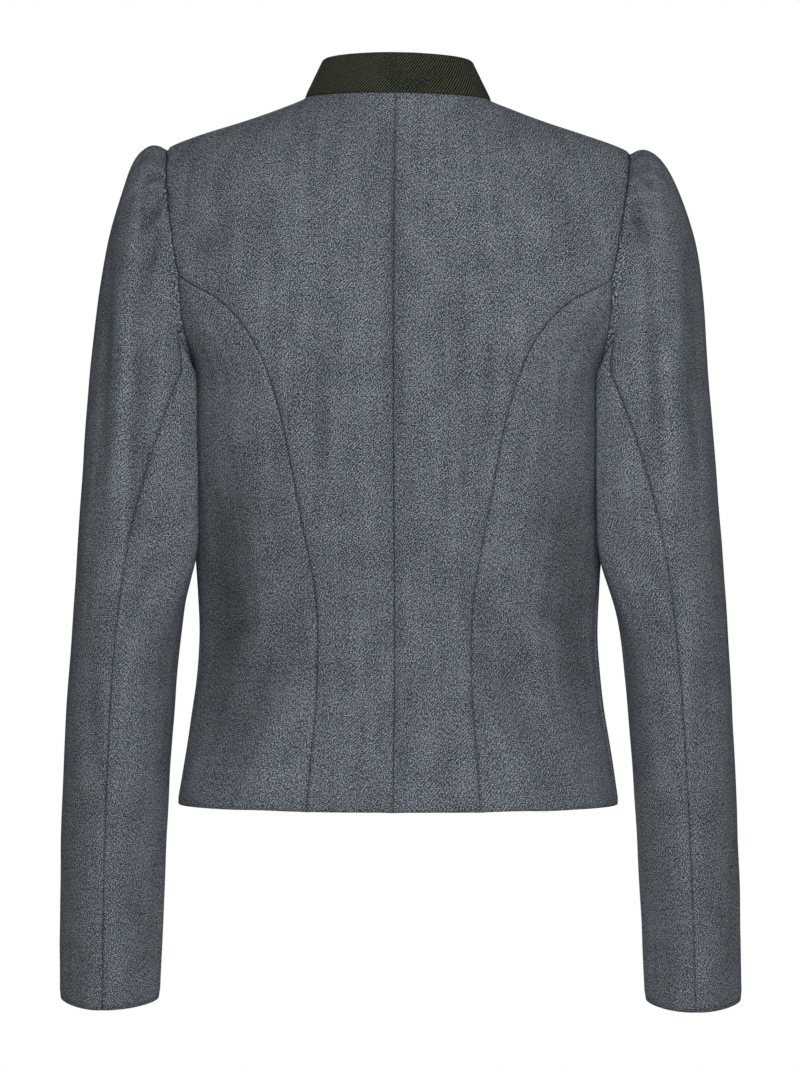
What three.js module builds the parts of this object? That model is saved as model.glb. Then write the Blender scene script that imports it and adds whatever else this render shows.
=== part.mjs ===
// A women's tyrolean loden jacket in the form it takes on its wearer: hip length and fitted, with a
// stand collar, princess seams back and front, and two-piece sleeves with a slightly full head.
//
// Frame: millimetres, +Z up, the back of the jacket faces +Y, the wearer's left arm is at +X. The
// origin is midway between the neck ends of the two shoulder seams, where the wearer carries it.
import * as THREE from "three";

// ---------------------------------------------------------------- driving sizes
const CLOTH = 2.0; // wall of the felted loden
const COLLAR_CLOTH = 3.0; // the stand collar is two layers
const SEAM_GAP = 0.3; // between neighbouring pieces

const NECK_HALF = 70; // half width of the neck opening, at the shoulder seams
const NECK_DROP = 72; // from the shoulder seams down to the front of the neck
const NECK_SWEEP = 0.75; // how gently the neck edge leaves the shoulder seam; 0.5 drops straight down
const SHOULDER_Z = -35; // outer end of the shoulder seam
const YOKE_Z = -134; // where the princess seams run out of the armholes
const UNDERARM_Z = -200; // lowest point of the armhole
const HEM_Z = -508;

const LAP = 15; // how far each front passes the centre line
const LAP_TURN = 4; // width over which the under front steps down below the upper one

const BUTTON_RADIUS = 10;
const BUTTON_HEIGHT = 4;
const BUTTON_TOP_Z = -96;
const BUTTON_PITCH = 85;
const BUTTON_COUNT = 5;

// How finely the cloth is faceted.
const YOKE_ROWS = 6; // rows from the princess seams' tops up to the shoulder
const BODY_ROWS = 14; // rows from there down to the hem
const NECK_COLUMNS = 4; // columns that end at the neck, on half a back or front
const SHOULDER_COLUMNS = 4; // columns that end at the shoulder seam
const SIDE_COLUMNS = 5; // columns across each side panel
const ROW_CROWDING = 1.5; // rows lie closer together where the princess seams curve most
const SCOOPED_ROWS = 5; // rows of the side panels over which the armhole's scoop dies away

// Level sections of the body. Each half of a section is a superellipse: half is its half width,
// back and front are its depths, and the powers say how square it is.
const BODY_SECTIONS = [
  { z: 12, half: 58, back: 57, front: 12, backPower: 2.0, frontPower: 2.0 },
  { z: 0, half: 70, back: 60, front: 22, backPower: 2.0, frontPower: 2.0 },
  { z: -10, half: 94, back: 64, front: 34, backPower: 1.8, frontPower: 1.9 },
  { z: -20, half: 124, back: 68.5, front: 45, backPower: 1.7, frontPower: 1.85 },
  { z: -35, half: 168, back: 76, front: 57, backPower: 1.75, frontPower: 1.8 },
  { z: -50, half: 181, back: 83, front: 68, backPower: 1.85, frontPower: 1.75 },
  { z: -85, half: 190, back: 96, front: 88, backPower: 2.15, frontPower: 1.7 },
  { z: -134, half: 183, back: 105, front: 112, backPower: 2.5, frontPower: 1.75 },
  { z: -165, half: 166, back: 107, front: 125, backPower: 2.45, frontPower: 2.05 },
  { z: -200, half: 148.5, back: 106, front: 134, backPower: 2.4, frontPower: 2.45 },
  { z: -230, half: 149.2, back: 104, front: 136, backPower: 2.35, frontPower: 2.6 },
  { z: -270, half: 149.4, back: 99, front: 131, backPower: 2.3, frontPower: 2.5 },
  { z: -325, half: 148.6, back: 87, front: 116, backPower: 2.25, frontPower: 2.35 },
  { z: -385, half: 145, back: 77, front: 103, backPower: 2.2, frontPower: 2.25 },
  { z: -425, half: 148.2, back: 82, front: 106, backPower: 2.2, frontPower: 2.25 },
  { z: -460, half: 153.6, back: 94, front: 111, backPower: 2.25, frontPower: 2.25 },
  { z: -508, half: 161, back: 107, front: 117, backPower: 2.3, frontPower: 2.3 },
];

// How far out the armhole edge lies, from the shoulder down to the princess seams.
const ARMHOLE_EDGE = [
  { z: -35, back: 168, front: 168 },
  { z: -50, back: 167.3, front: 163.5 },
  { z: -70, back: 165.6, front: 157 },
  { z: -90, back: 162.8, front: 151.5 },
  { z: -112, back: 159, front: 148 },
  { z: -134, back: 154, front: 146.5 },
];

// How far out each princess seam lies, from the armhole down to the hem.
const PRINCESS_SEAM = [
  { z: -134, back: 154, front: 146.5 },
  { z: -141, back: 134, front: 137 },
  { z: -154, back: 116, front: 125 },
  { z: -172, back: 101.5, front: 112 },
  { z: -198, back: 87.5, front: 99 },
  { z: -236, back: 76, front: 89 },
  { z: -280, back: 67, front: 80 },
  { z: -324, back: 58.5, front: 71 },
  { z: -363, back: 51.7, front: 64 },
  { z: -388, back: 50.7, front: 62 },
  { z: -443, back: 51.5, front: 65 },
  { z: -475, back: 55.5, front: 69.5 },
  { z: -508, back: 57.5, front: 74 },
];

// How far the side seam swings towards the back, as an angle round the section, in degrees.
const SIDE_SEAM = [
  { z: -200, turn: 0 },
  { z: -325, turn: 3 },
  { z: -400, turn: 8 },
  { z: -508, turn: 10 },
];

// Rings of the left sleeve. outer and inner are the ends of the ring seen from behind, midY and
// depth its middle and half depth from front to back, and drop how steeply its back hangs lower.
// towards is how far the columns have moved from the armhole's spacing to an even one.
const SLEEVE_RINGS = [
  { outerX: 168, outerZ: -35, innerX: 148.5, innerZ: -200, midY: 5, depth: 62, drop: 0, towards: 0 },
  { outerX: 177, outerZ: -31.5, innerX: 150.4, innerZ: -201.5, midY: 5, depth: 63.5, drop: 0, towards: 0 },
  { outerX: 187, outerZ: -37, innerX: 152, innerZ: -204, midY: 5, depth: 64.5, drop: 0, towards: 0.03 },
  { outerX: 196, outerZ: -52, innerX: 153, innerZ: -209, midY: 5, depth: 64, drop: 0, towards: 0.08 },
  { outerX: 203.5, outerZ: -75, innerX: 153.4, innerZ: -219, midY: 5, depth: 62.5, drop: 0, towards: 0.16 },
  { outerX: 210, outerZ: -104, innerX: 153.5, innerZ: -235, midY: 5, depth: 61, drop: 0, towards: 0.28 },
  { outerX: 217, outerZ: -143, innerX: 153.5, innerZ: -257, midY: 5, depth: 60, drop: 0, towards: 0.42 },
  { outerX: 222.5, outerZ: -194, innerX: 153.5, innerZ: -285, midY: 5, depth: 59, drop: 0, towards: 0.58 },
  { outerX: 228.5, outerZ: -256, innerX: 153.3, innerZ: -317, midY: 5, depth: 58, drop: 0, towards: 0.76 },
  { outerX: 234, outerZ: -328, innerX: 154, innerZ: -354, midY: 5, depth: 57, drop: 0, towards: 0.92 },
  { outerX: 238, outerZ: -388, innerX: 159.5, innerZ: -396, midY: 4, depth: 55.5, drop: 0.02, towards: 1 },
  { outerX: 241, outerZ: -438, innerX: 163.5, innerZ: -440, midY: 1, depth: 53, drop: 0.05, towards: 1 },
  { outerX: 244, outerZ: -490, innerX: 168, innerZ: -490, midY: -5, depth: 50, drop: 0.08, towards: 1 },
  { outerX: 246.5, outerZ: -545, innerX: 171.5, innerZ: -545, midY: -14, depth: 47, drop: 0.11, towards: 1 },
  { outerX: 248.5, outerZ: -600, innerX: 175, innerZ: -600, midY: -24, depth: 44.5, drop: 0.14, towards: 1 },
  { outerX: 249.5, outerZ: -653, innerX: 177.5, innerZ: -653, midY: -35, depth: 42.5, drop: 0.16, towards: 1 },
];
const SHAPED_RINGS = 5; // rings over which the sleeve gives up the armhole's own outline

// The sleeve's two seams: how many columns past the princess seam they leave the armhole, and the
// angle where they reach the cuff. Angles run from the back, 0, over the top, 90, to the front, 180.
const HIND_SEAM = { columns: 2, cuffAngle: 4 };
const FORE_SEAM = { columns: 1, cuffAngle: 197 };

// The top edge of the collar, above the neck seam.
const COLLAR_TOP = { half: 56, back: 50, front: 75, z: 28, backRise: 1.5, frontDrop: 72 };
const COLLAR_ROWS = [0, 0.35, 0.7, 1]; // share of the way from neck seam to top edge
const COLLAR_END = 1; // half of the opening between the collar's ends
const COLLAR_CORNER = 5; // how much the top corner of each end is rounded away

const LODEN = { color: 0x5f646b, roughness: 0.95, metalness: 0 };
const GREEN_LODEN = { color: 0x2e3228, roughness: 0.95, metalness: 0 };
const HORN = { color: 0x4a3a2b, roughness: 0.5, metalness: 0 };

// ---------------------------------------------------------------- small helpers
const radians = THREE.MathUtils.degToRad;
const mix = THREE.MathUtils.lerp;

// A smooth curve through one column of a table, that never overshoots its rows.
function smoothColumn(table, name, along = "z") {
  const rows = [...table].sort((a, b) => a[along] - b[along]);
  const at = rows.map((row) => row[along]);
  const value = rows.map((row) => row[name]);
  const rise = at.slice(1).map((a, i) => (value[i + 1] - value[i]) / (a - at[i]));
  const slope = value.map((_, i) => {
    const before = rise[Math.max(i - 1, 0)];
    const after = rise[Math.min(i, rise.length - 1)];
    return before * after <= 0 ? 0 : (2 * before * after) / (before + after);
  });
  return (position) => {
    const x = THREE.MathUtils.clamp(position, at[0], at[at.length - 1]);
    const i = Math.min(Math.max(at.findIndex((a) => a > x) - 1, 0), rise.length - 1);
    const last = x >= at[at.length - 1] ? rise.length - 1 : i;
    const span = at[last + 1] - at[last];
    const t = (x - at[last]) / span;
    const early = (1 + 2 * t) * (1 - t) ** 2 * value[last] + t * (1 - t) ** 2 * span * slope[last];
    const late = t ** 2 * (3 - 2 * t) * value[last + 1] + t ** 2 * (t - 1) * span * slope[last + 1];
    return early + late;
  };
}

const BACK = 1;
const FRONT = -1;
const body = {
  half: smoothColumn(BODY_SECTIONS, "half"),
  depth: { [BACK]: smoothColumn(BODY_SECTIONS, "back"), [FRONT]: smoothColumn(BODY_SECTIONS, "front") },
  power: { [BACK]: smoothColumn(BODY_SECTIONS, "backPower"), [FRONT]: smoothColumn(BODY_SECTIONS, "frontPower") },
};
const armholeEdge = { [BACK]: smoothColumn(ARMHOLE_EDGE, "back"), [FRONT]: smoothColumn(ARMHOLE_EDGE, "front") };
const princessSeam = { [BACK]: smoothColumn(PRINCESS_SEAM, "back"), [FRONT]: smoothColumn(PRINCESS_SEAM, "front") };
const sideSeamTurn = smoothColumn(SIDE_SEAM, "turn");

// The direction that faces out of the body's surface at a point of it.
function bodyOut(side, point) {
  const fill = (z) => {
    const power = body.power[side](z);
    const across = Math.abs(point.x) / body.half(z);
    const along = Math.abs(point.y) / body.depth[side](z);
    return across ** power + along ** power;
  };
  const power = body.power[side](point.z);
  const half = body.half(point.z);
  const depth = body.depth[side](point.z);
  const step = 0.5;
  return new THREE.Vector3(
    (Math.sign(point.x) * power * (Math.abs(point.x) / half) ** (power - 1)) / half,
    (side * power * (Math.abs(point.y) / depth) ** (power - 1)) / depth,
    (fill(point.z + step) - fill(point.z - step)) / (2 * step),
  ).normalize();
}

// A point of the cloth: where its outside is, and which way it faces.
function clothPoint(side, x, y, z) {
  const at = new THREE.Vector3(x, y, z);
  return { at, out: bodyOut(side, at) };
}

// The body's surface at a width and a height.
function bodyAtWidth(side, x, z) {
  const power = body.power[side](z);
  const across = Math.min(Math.abs(x) / body.half(z), 1);
  const y = side * body.depth[side](z) * (1 - across ** power) ** (1 / power);
  return clothPoint(side, x, y, z);
}

// The body's surface at an angle round the section, from the side, 0, to the centre line, 90.
function bodyAtAngle(side, angle, z) {
  const power = body.power[side](z);
  const x = body.half(z) * Math.abs(Math.cos(angle)) ** (2 / power);
  const y = side * body.depth[side](z) * Math.abs(Math.sin(angle)) ** (2 / power);
  return clothPoint(side, x, y, z);
}

// The angle round the section where the surface reaches a width.
function angleAtWidth(side, x, z) {
  return Math.acos((x / body.half(z)) ** (body.power[side](z) / 2));
}

// Row levels that start close together at the top and end at the hem.
function rowLevels(top) {
  return Array.from({ length: BODY_ROWS + 1 }, (_, i) => mix(top, HEM_Z, (i / BODY_ROWS) ** ROW_CROWDING));
}

// ---------------------------------------------------------------- walls of cloth
// Draws chosen edges of a piece back by half a seam gap, so that it stays clear of its neighbours.
function drawBack(grid, { first = true, last = true, top = true, bottom = false } = {}) {
  const drawn = grid.map((row) => row.map(({ at, out }) => ({ at: at.clone(), out })));
  const shift = (point, towards) => {
    point.at.add(towards.at.clone().sub(point.at).setLength(SEAM_GAP / 2));
  };
  grid.forEach((row, i) => {
    if (first) shift(drawn[i][0], row[1]);
    if (last) shift(drawn[i][row.length - 1], row[row.length - 2]);
  });
  grid[0].forEach((_, j) => {
    if (top) shift(drawn[0][j], grid[1][j]);
    if (bottom) shift(drawn[grid.length - 1][j], grid[grid.length - 2][j]);
  });
  return drawn;
}

// Gives a grid of cloth points its thickness: an outer skin, an inner skin and the rim between them.
function clothWall(grid, thickness = CLOTH) {
  const rows = grid.length;
  const columns = grid[0].length;
  const outer = grid.flat().map(({ at }) => at);
  const inner = grid.flat().map(({ at, out }) => at.clone().addScaledVector(out, -thickness));
  const points = [...outer, ...inner];
  const index = (row, column, skin = 0) => skin * rows * columns + row * columns + column;
  const middle = grid[rows >> 1][columns >> 1];
  const across = grid[rows >> 1][(columns >> 1) - 1].at.clone().sub(middle.at);
  const down = grid[(rows >> 1) - 1][columns >> 1].at.clone().sub(middle.at);
  const turned = across.cross(down).dot(middle.out) < 0;
  const triangles = [];
  const quad = (a, b, c, d) => {
    if (turned) triangles.push(a, c, b, a, d, c);
    else triangles.push(a, b, c, a, c, d);
  };
  for (let row = 0; row < rows - 1; row += 1) {
    for (let column = 0; column < columns - 1; column += 1) {
      const corners = [[row, column], [row, column + 1], [row + 1, column + 1], [row + 1, column]];
      const [a, b, c, d] = corners.map(([r, k]) => index(r, k));
      const [e, f, g, h] = corners.map(([r, k]) => index(r, k, 1));
      quad(a, b, c, d);
      quad(e, h, g, f);
    }
  }
  const rim = [];
  for (let column = 0; column < columns; column += 1) rim.push([0, column]);
  for (let row = 1; row < rows; row += 1) rim.push([row, columns - 1]);
  for (let column = columns - 2; column >= 0; column -= 1) rim.push([rows - 1, column]);
  for (let row = rows - 2; row >= 1; row -= 1) rim.push([row, 0]);
  rim.forEach(([row, column], i) => {
    const [nextRow, nextColumn] = rim[(i + 1) % rim.length];
    quad(index(nextRow, nextColumn), index(row, column), index(row, column, 1), index(nextRow, nextColumn, 1));
  });
  const geometry = new THREE.BufferGeometry().setFromPoints(points);
  geometry.setIndex(triangles);
  geometry.computeVertexNormals();
  return geometry;
}

const mirrored = (grid) => grid.map((row) => row.map(({ at, out }) => ({
  at: new THREE.Vector3(-at.x, at.y, at.z),
  out: new THREE.Vector3(-out.x, out.y, out.z),
})));

const jacket = new THREE.Group();
function addPiece(name, geometry, finish) {
  const mesh = new THREE.Mesh(geometry, new THREE.MeshStandardMaterial(finish));
  mesh.name = name;
  jacket.add(mesh);
  return mesh;
}

// ---------------------------------------------------------------- backs and fronts
// Height of the neck seam where it passes a width.
const neckLevel = (side, x) => (side === BACK ? 0 : -NECK_DROP * (1 - (x / NECK_HALF) ** 2) ** NECK_SWEEP);

// The top edge of a back or front: along the neck seam and then along the shoulder seam.
function topEdge(side, start) {
  const from = Math.asin(start / NECK_HALF);
  const neck = Array.from({ length: NECK_COLUMNS + 1 }, (_, i) => {
    const x = NECK_HALF * Math.sin(mix(from, Math.PI / 2, i / NECK_COLUMNS));
    return { x, z: neckLevel(side, x) };
  });
  const shoulder = Array.from({ length: SHOULDER_COLUMNS }, (_, i) => {
    const z = (SHOULDER_Z * (i + 1)) / SHOULDER_COLUMNS;
    return { x: body.half(z), z };
  });
  return [...neck, ...shoulder];
}

// A back or front, from near the centre line out to the armhole and the princess seam.
function centrePanel(side, start = 0) {
  const top = topEdge(side, start);
  const share = (j) => j / (top.length - 1);
  const yoke = Array.from({ length: YOKE_ROWS }, (_, i) => {
    const down = (i / YOKE_ROWS) ** 2;
    const plainEdge = mix(top[top.length - 1].x, armholeEdge[side](YOKE_Z), down);
    const edge = armholeEdge[side](mix(SHOULDER_Z, YOKE_Z, down));
    return top.map(({ x, z }, j) => {
      const lower = mix(start, armholeEdge[side](YOKE_Z), share(j));
      const width = start + ((mix(x, lower, down) - start) * (edge - start)) / (plainEdge - start);
      return bodyAtWidth(side, width, mix(z, YOKE_Z, down));
    });
  });
  const lower = rowLevels(YOKE_Z).map((z) => (
    top.map((_, j) => bodyAtWidth(side, mix(start, princessSeam[side](z), share(j)), z))
  ));
  return [...yoke, ...lower];
}

// A front with its lap beyond the centre line. The under front steps down below the upper one.
function frontPanel(under) {
  const step = under ? CLOTH + SEAM_GAP : 0;
  const start = LAP + LAP_TURN;
  return centrePanel(FRONT, start).map((row, i) => {
    const lap = [-LAP, 0, LAP + SEAM_GAP].map((x) => {
      const z = i < YOKE_ROWS ? mix(neckLevel(FRONT, x), YOKE_Z, (i / YOKE_ROWS) ** 2) : row[0].at.z;
      const point = bodyAtWidth(FRONT, x, z);
      point.at.addScaledVector(point.out, -step);
      return point;
    });
    return [...lap, ...row];
  });
}

// A side panel, from the princess seam round to the side seam.
function sidePanel(side) {
  const seam = rowLevels(YOKE_Z);
  const underarm = rowLevels(UNDERARM_Z);
  return seam.map((seamZ, i) => {
    const start = angleAtWidth(side, princessSeam[side](seamZ), seamZ);
    const end = radians(side * sideSeamTurn(underarm[i]));
    const hollow = Math.max(1 - i / SCOOPED_ROWS, 0);
    return Array.from({ length: SIDE_COLUMNS + 1 }, (_, j) => {
      const share = j / SIDE_COLUMNS;
      const scoop = mix(share, Math.sin((Math.PI / 2) * share), hollow);
      const angle = mix(start, end, share);
      return bodyAtAngle(angle < 0 ? -side : side, Math.abs(angle), mix(seamZ, underarm[i], scoop));
    });
  });
}

const backGrid = centrePanel(BACK);
const sideBackGrid = sidePanel(BACK);
const sideFrontGrid = sidePanel(FRONT);
const upperFrontGrid = frontPanel(false);
const underFrontGrid = frontPanel(true);

addPiece("back_left", clothWall(drawBack(backGrid)), LODEN);
addPiece("back_right", clothWall(mirrored(drawBack(backGrid))), LODEN);
addPiece("side_back_left", clothWall(drawBack(sideBackGrid)), LODEN);
addPiece("side_back_right", clothWall(mirrored(drawBack(sideBackGrid))), LODEN);
addPiece("side_front_left", clothWall(drawBack(sideFrontGrid)), LODEN);
addPiece("side_front_right", clothWall(mirrored(drawBack(sideFrontGrid))), LODEN);
addPiece("front_left", clothWall(drawBack(underFrontGrid, { first: false })), LODEN);
addPiece("front_right", clothWall(mirrored(drawBack(upperFrontGrid, { first: false }))), LODEN);

// ---------------------------------------------------------------- stand collar
// The neck seam from the centre back round to the centre front, at the columns of the panels it joins.
const neckline = [
  ...backGrid[0].slice(0, NECK_COLUMNS + 1),
  ...upperFrontGrid[0].slice(2, NECK_COLUMNS + 3).reverse(),
  bodyAtWidth(FRONT, COLLAR_END, -NECK_DROP),
].map(({ at }) => at);

// A point of the collar above one point of the neck seam, up its height from 0 to 1.
function collarPoint(seam, up, end) {
  const across = Math.min(seam.x / NECK_HALF, 1);
  const along = Math.sqrt(1 - across ** 2);
  const top = seam.y >= 0
    ? { y: COLLAR_TOP.back * along, z: COLLAR_TOP.z + COLLAR_TOP.backRise * along }
    : { y: -COLLAR_TOP.front * along, z: COLLAR_TOP.z - COLLAR_TOP.frontDrop * along ** (2 * NECK_SWEEP) };
  const rise = end ? up * (1 - COLLAR_CORNER / COLLAR_TOP.z) : up;
  const x = end ? COLLAR_END : COLLAR_TOP.half * across;
  return new THREE.Vector3(mix(seam.x, x, rise), mix(seam.y, top.y, rise), mix(seam.z + SEAM_GAP, top.z, rise));
}

// Gives bare rows of points the directions that face away from the middle of the tube they form.
function withOut(rows, closed) {
  return rows.map((row, i) => row.map((at, j) => {
    const last = row.length - 1;
    const middle = row.reduce((sum, point) => sum.add(point), new THREE.Vector3()).divideScalar(row.length);
    const next = closed ? row[(j + 1) % row.length] : row[Math.min(j + 1, last)];
    const previous = closed ? row[(j + last) % row.length] : row[Math.max(j - 1, 0)];
    const below = rows[Math.min(i + 1, rows.length - 1)][j];
    const above = rows[Math.max(i - 1, 0)][j];
    const out = next.clone().sub(previous).cross(below.clone().sub(above)).normalize();
    if (out.dot(at.clone().sub(middle)) < 0) out.negate();
    return { at, out };
  }));
}

const collarRows = [...COLLAR_ROWS].reverse().map((up) => {
  const left = neckline.map((seam, j) => collarPoint(seam, up, j === neckline.length - 1));
  const right = left.slice(1).map(({ x, y, z }) => new THREE.Vector3(-x, y, z));
  return [...right.reverse(), ...left];
});
const collarGrid = withOut(collarRows, false);
collarGrid[collarGrid.length - 1].forEach(({ out }) => out.setZ(0).normalize());
addPiece("stand_collar", clothWall(collarGrid, COLLAR_CLOTH), GREEN_LODEN);

// ---------------------------------------------------------------- sleeves
// The armhole's edge, from the shoulder down the back, under the arm and up the front.
const armhole = [
  ...backGrid.slice(0, YOKE_ROWS).map((row) => row[row.length - 1].at),
  ...sideBackGrid[0].slice(0, SIDE_COLUMNS).map(({ at }) => at),
  ...[...sideFrontGrid[0]].reverse().slice(0, SIDE_COLUMNS).map(({ at }) => at),
  ...upperFrontGrid.slice(1, YOKE_ROWS + 1).reverse().map((row) => row[row.length - 1].at),
];
const hindSeamAt = YOKE_ROWS + HIND_SEAM.columns;
const foreSeamAt = YOKE_ROWS + 2 * SIDE_COLUMNS - FORE_SEAM.columns;

// The middle, the cross axis and the angles of one sleeve ring.
function ringFrame({ outerX, outerZ, innerX, innerZ, midY }) {
  const outer = new THREE.Vector3(outerX, midY, outerZ);
  const inner = new THREE.Vector3(innerX, midY, innerZ);
  return { middle: outer.clone().add(inner).multiplyScalar(0.5), cross: outer.sub(inner).multiplyScalar(0.5) };
}

function ringPoint(ring, angle) {
  const { middle, cross } = ringFrame(ring);
  const point = middle.addScaledVector(cross, Math.sin(angle));
  point.y += ring.depth * Math.cos(angle);
  point.z -= ring.drop * ring.depth * Math.cos(angle);
  return point;
}

function angleOnRing(ring, point) {
  const { middle, cross } = ringFrame(ring);
  const offset = point.clone().sub(middle);
  return Math.atan2(offset.dot(cross) / cross.lengthSq(), offset.y / ring.depth);
}

// Angles fall from 90 at the top, down the back to 0, under the arm and up the front to -270.
const armholeAngles = armhole.map((point) => angleOnRing(SLEEVE_RINGS[0], point));
armholeAngles.forEach((angle, j) => {
  if (j > 0 && angle > armholeAngles[j - 1]) armholeAngles[j] = angle - 2 * Math.PI;
});
const cuffAngles = armhole.map((_, j) => {
  const hind = radians(HIND_SEAM.cuffAngle);
  const fore = radians(FORE_SEAM.cuffAngle - 360);
  const count = armhole.length;
  if (j >= hindSeamAt && j <= foreSeamAt) {
    return mix(hind, fore, (j - hindSeamAt) / (foreSeamAt - hindSeamAt));
  }
  const overTop = (j < hindSeamAt ? j + count : j) - foreSeamAt;
  const angle = mix(fore, hind - 2 * Math.PI, overTop / (hindSeamAt + count - foreSeamAt));
  return j < hindSeamAt ? angle + 2 * Math.PI : angle;
});
const sleeveRows = withOut(SLEEVE_RINGS.map((ring, i) => armhole.map((edge, j) => {
  const shaped = Math.max(1 - i / SHAPED_RINGS, 0);
  const angle = mix(armholeAngles[j], cuffAngles[j], ring.towards);
  const ownShape = edge.clone().sub(ringPoint(SLEEVE_RINGS[0], armholeAngles[j]));
  const point = ringPoint(ring, angle).addScaledVector(ownShape, shaped);
  point.x += SEAM_GAP;
  return point;
})), true);

// The columns of the sleeve between two seams, in order round the ring.
function sleevePiece(from, count) {
  const piece = sleeveRows.map((row) => Array.from({ length: count + 1 }, (_, j) => row[(from + j) % row.length]));
  return drawBack(piece, { top: false });
}
const undersleeve = sleevePiece(hindSeamAt, foreSeamAt - hindSeamAt);
const topsleeve = sleevePiece(foreSeamAt, armhole.length - (foreSeamAt - hindSeamAt));
addPiece("topsleeve_left", clothWall(topsleeve), LODEN);
addPiece("topsleeve_right", clothWall(mirrored(topsleeve)), LODEN);
addPiece("undersleeve_left", clothWall(undersleeve), LODEN);
addPiece("undersleeve_right", clothWall(mirrored(undersleeve)), LODEN);

// ---------------------------------------------------------------- buttons
// A plain turned button: flat underneath, with a rounded rim and a shallow dish on top.
function buttonShape() {
  const profile = [
    [0, 0],
    [0.85 * BUTTON_RADIUS, 0],
    [BUTTON_RADIUS, 0.4 * BUTTON_HEIGHT],
    [0.9 * BUTTON_RADIUS, BUTTON_HEIGHT],
    [0.7 * BUTTON_RADIUS, BUTTON_HEIGHT],
    [0.55 * BUTTON_RADIUS, 0.7 * BUTTON_HEIGHT],
    [0, 0.7 * BUTTON_HEIGHT],
  ].map(([radius, height]) => new THREE.Vector2(radius, height));
  return new THREE.LatheGeometry(profile, 14);
}

for (let i = 0; i < BUTTON_COUNT; i += 1) {
  const { at, out } = bodyAtWidth(FRONT, 0, BUTTON_TOP_Z - i * BUTTON_PITCH);
  const button = addPiece(`button_${i + 1}`, buttonShape(), HORN);
  button.quaternion.setFromUnitVectors(new THREE.Vector3(0, 1, 0), out);
  button.position.copy(at).addScaledVector(out, 2 * SEAM_GAP);
}

export default jacket;
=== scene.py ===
# %% [markdown]
# A women's tyrolean loden jacket, seen from behind. The construction is already settled: the frame
# holds every cut piece as a stiff wall of cloth, in metres, +Z up, with the back facing +Y. This
# script turns those walls into cloth: smooth shells with their seams, creases, weave and nap.

# %% Load the frame
from math import atan2, cos, exp, floor, hypot, pi, radians, remainder, sin

import bmesh
import bpy
from mathutils import Matrix, Vector, noise
from mathutils.kdtree import KDTree


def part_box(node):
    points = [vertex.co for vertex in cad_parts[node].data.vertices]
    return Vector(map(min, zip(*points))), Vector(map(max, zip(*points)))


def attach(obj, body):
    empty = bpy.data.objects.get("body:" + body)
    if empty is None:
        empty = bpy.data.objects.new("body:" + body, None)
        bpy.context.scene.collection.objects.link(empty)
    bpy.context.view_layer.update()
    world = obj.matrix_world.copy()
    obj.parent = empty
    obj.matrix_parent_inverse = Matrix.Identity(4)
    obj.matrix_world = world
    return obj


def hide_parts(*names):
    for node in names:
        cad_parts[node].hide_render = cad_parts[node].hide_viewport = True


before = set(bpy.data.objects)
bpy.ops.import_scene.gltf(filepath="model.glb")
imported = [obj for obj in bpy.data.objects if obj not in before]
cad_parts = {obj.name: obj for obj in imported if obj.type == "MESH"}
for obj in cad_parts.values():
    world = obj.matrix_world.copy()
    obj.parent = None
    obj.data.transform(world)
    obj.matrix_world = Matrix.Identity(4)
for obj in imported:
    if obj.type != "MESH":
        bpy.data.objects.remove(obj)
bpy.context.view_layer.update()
print("pieces in the frame:", len(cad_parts))

# %% [markdown]
# The camera comes first, because everything after it is judged through it. The jacket is seen from
# behind, level with its middle and turned about two degrees, from far enough away that both
# cuffs and the collar are seen almost straight on.

# %% Camera
VIEW_WIDTH = 0.5785  # how much the camera takes in, at the shoulders' distance
VIEW_HEIGHT = VIEW_WIDTH * 1067 / 800
VIEW_CENTRE = Vector((-0.0014, 0.0, -0.3134))
VIEW_DISTANCE = 3.0
VIEW_TURN = radians(182.0)
SENSOR = 36.0

camera_data = bpy.data.cameras.new("studio_camera")
camera = bpy.data.objects.new("studio_camera", camera_data)
bpy.context.scene.collection.objects.link(camera)
away = Vector((sin(VIEW_TURN), -cos(VIEW_TURN), 0.0))
camera.location = VIEW_CENTRE + away * VIEW_DISTANCE
camera.rotation_euler = (-away).to_track_quat("-Z", "Y").to_euler()
camera_data.sensor_fit = "VERTICAL"
camera_data.sensor_height = SENSOR
camera_data.lens = SENSOR * VIEW_DISTANCE / VIEW_HEIGHT
bpy.context.scene.camera = camera
print("lens", round(camera_data.lens, 1), "mm")

# %% [markdown]
# Cloth has two sides and an edge. Each frame piece is a closed wall, so its outer skin has to be
# found first: faces are grouped by walking over every edge that isn't sharp, and of the large
# groups the outer skin is the one that faces away from the middle of the body or of the sleeve.
# Skins that are sewn together are joined into one net, so that smoothing runs across the seams.

# %% Find the outer skin of a piece
SHARP = radians(52)  # a wall's sides and its rim meet more sharply than this
LARGE = 0.3  # a skin has at least this share of the largest group's area
FACETS_TOUCH = 1e-5
WELD = 0.0007  # seams are 0.3 mm gaps, and this closes them
SLEEVE_AXIS = [  # middle of the left sleeve at a few heights, and half its width and depth there
    (-0.10, 0.180, 0.005, 0.030, 0.0610),
    (-0.20, 0.188, 0.005, 0.035, 0.0595),
    (-0.34, 0.194, 0.005, 0.040, 0.0570),
    (-0.44, 0.202, 0.001, 0.039, 0.0530),
    (-0.55, 0.209, -0.015, 0.0375, 0.0470),
    (-0.66, 0.2135, -0.036, 0.036, 0.0425),
]


def between(table, height):
    """Reads a table of (height, value, value...) rows that run downwards, between its rows."""
    for high, low in zip(table, table[1:]):
        if height >= low[0]:
            share = min(max((high[0] - height) / (high[0] - low[0]), 0.0), 1.0)
            return [a + (b - a) * share for a, b in zip(high[1:], low[1:])]
    return list(table[-1][1:])


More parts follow.
